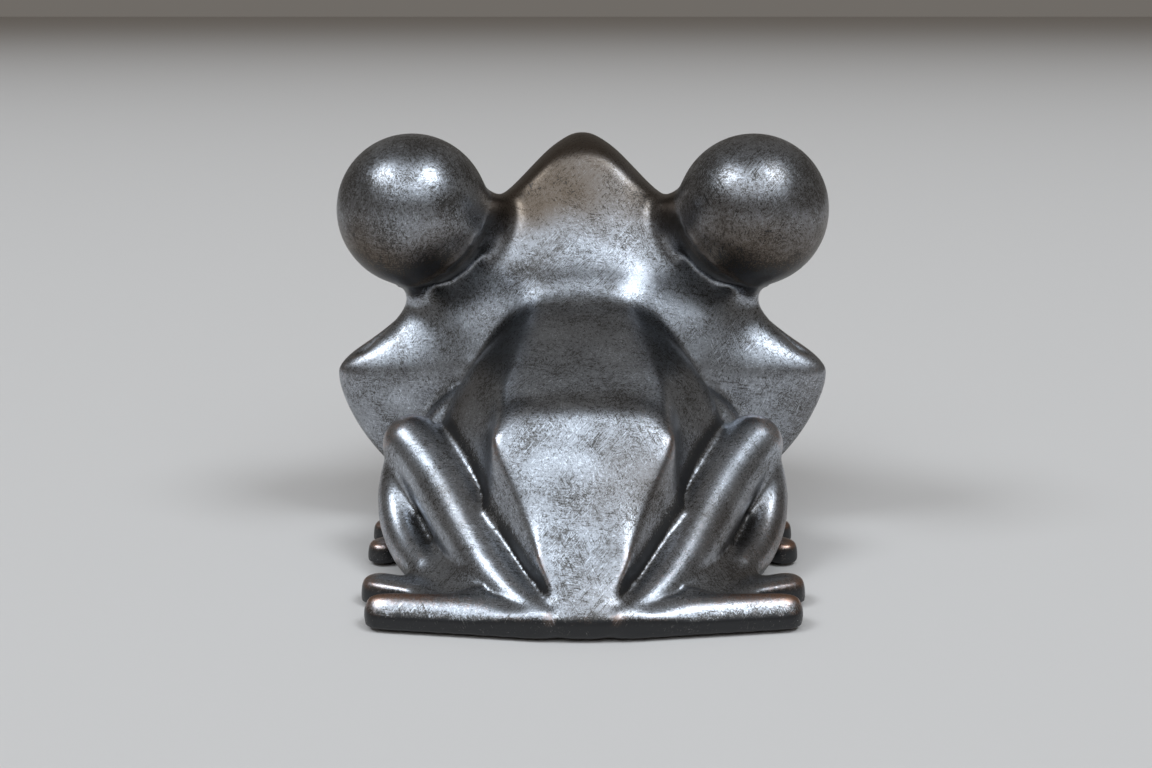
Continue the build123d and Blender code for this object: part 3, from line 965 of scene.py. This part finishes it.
def felt_mesh(node):
    """A CAD pad with its cut edges rounded."""
    bm = node_shell(node)
    bmesh.ops.dissolve_limit(bm, angle_limit=math.radians(FLAT_ANGLE), verts=bm.verts, edges=bm.edges)
    bm.normal_update()
    rim = [e for e in bm.edges if e.calc_face_angle(0) > math.radians(CUT_ANGLE)]
    bmesh.ops.bevel(
        bm, geom=rim, offset=FELT_ROUND, segments=3, profile=0.5, affect="EDGES", material=-1
    )
    bmesh.ops.recalc_face_normals(bm, faces=bm.faces)
    mesh = settled(bm, node + "_felt")
    for face in mesh.polygons:
        face.use_smooth = len(face.vertices) == 4
    return mesh


rub = rub_group(stroke_group())
body_paint = casting_paint("body_paint", rub, silver=0.50, copper=0.85, relief=0.22)
eye_paint = casting_paint("eye_paint", rub, silver=0.38, copper=0.0, relief=0.16)

skin, owner, seam, groove = sculpted()
normals = skin.normals()
recess = recesses(skin, normals)
# Painted shade in the groove between thighs and trunk, strongest where the surface faces sideways
recess += GROOVE_SHADE * groove * eased(np.abs(normals[:, 0]), *GROOVE_FACING)
recess[owner == CASTINGS.index("head")] *= HEAD_RECESS_SHARE
values = {"raised": skin.raised(normals), "recess": recess, "seam": seam, "tan_tone_and_reflection": tan_tone_and_painted_reflection(skin, owner)}
face_owner = skin.face_owners(owner)
for index, node in enumerate(CASTINGS):
    eye = node.endswith("eye")
    paint, slot = (eye_paint, "eye_resin") if eye else (body_paint, "painted_resin")
    mesh = casting_mesh(skin, node + "_casting", skin.faces[face_owner == index], values, normals)
    placed(mesh, node + "_casting", paint, slot, node)
bpy.data.meshes.remove(skin.mesh)

felt = felt_material()
for node in PADS:
    placed(felt_mesh(node), node + "_felt", felt, "felt", node)

steel = steel_material()
for node, material in [("base_plate", base_material())] + [(pin, steel) for pin in PINS]:
    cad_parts[node].data.materials.clear()
    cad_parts[node].data.materials.append(material)


# Stage: a pale floor, a broad soft light above the camera, two soft boxes and a dim, even surround
FLOOR_SIZE = 60.0
FLOOR_COLOUR = (0.70, 0.675, 0.655, 1)
FLOOR_ROUGHNESS = 0.8
LIGHT_COLOUR = (0.86, 0.93, 1.0)
SURROUND_COLOUR = (1.0, 0.92, 0.83, 1)
SURROUND_STRENGTH = 0.16

# Soft boxes: name, azimuth and elevation in degrees, distance, width and height in metres, and watts
soft_boxes = [
    ("left_box", -66, 52, 12, 4.0, 4.0, 430),
    ("right_box", 52, 57, 12, 4.0, 4.0, 430),
    ("back_box", 0, 52, 13.6, 19.0, 10.0, 950),
]


def make_floor():
    """A plain pale floor under the frog."""
    bm = bmesh.new()
    bmesh.ops.create_grid(bm, x_segments=1, y_segments=1, size=FLOOR_SIZE)
    mesh = settled(bm, "floor")
    floor = bpy.data.objects.new("floor", mesh)
    bpy.context.scene.collection.objects.link(floor)
    material, _, shader = new_material("pale_floor")
    shader.inputs["Base Color"].default_value = FLOOR_COLOUR
    shader.inputs["Roughness"].default_value = FLOOR_ROUGHNESS
    mesh.materials.append(material)


def soft_box(target, name, azimuth, elevation, distance, width, height, power):
    """A soft light that faces the frog. Azimuth 0 is behind the frog's tail."""
    light = bpy.data.lights.new(name, "AREA")
    light.shape = "RECTANGLE"
    light.size = width
    light.size_y = height
    light.energy = power
    light.color = LIGHT_COLOUR
    lamp = bpy.data.objects.new(name, light)
    bpy.context.scene.collection.objects.link(lamp)
    a, e = math.radians(azimuth), math.radians(elevation)
    way = Vector((math.sin(a) * math.cos(e), -math.cos(a) * math.cos(e), math.sin(e)))
    lamp.location = target + way * distance
    lamp.rotation_euler = way.to_track_quat("Z", "Y").to_euler()


def make_world():
    """A dim, even and slightly warm surround."""
    world = bpy.data.worlds.new("surround")
    bpy.context.scene.world = world
    world.use_nodes = True
    backdrop = world.node_tree.nodes["Background"]
    backdrop.inputs["Color"].default_value = SURROUND_COLOUR
    backdrop.inputs["Strength"].default_value = SURROUND_STRENGTH


def make_camera():
    """The photograph's camera."""
    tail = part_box("trunk")[0].y
    camera = bpy.data.cameras.new("photo_camera")
    camera.sensor_width = SENSOR_WIDTH
    camera.lens = SENSOR_WIDTH * FOCAL_LENGTH / PHOTO_WIDTH
    place = bpy.data.objects.new("photo_camera", camera)
    bpy.context.scene.collection.objects.link(place)
    place.location = (CAMERA_SIDE, tail - CAMERA_BEHIND, CAMERA_HEIGHT)
    place.rotation_euler = (math.radians(90 - CAMERA_PITCH), 0, 0)
    bpy.context.scene.camera = place


make_floor()
make_world()
make_camera()
middle = (cad_box[0] + cad_box[1]) / 2
for box in soft_boxes:
    soft_box(middle, *box)
bpy.context.scene.view_settings.view_transform = "Standard"
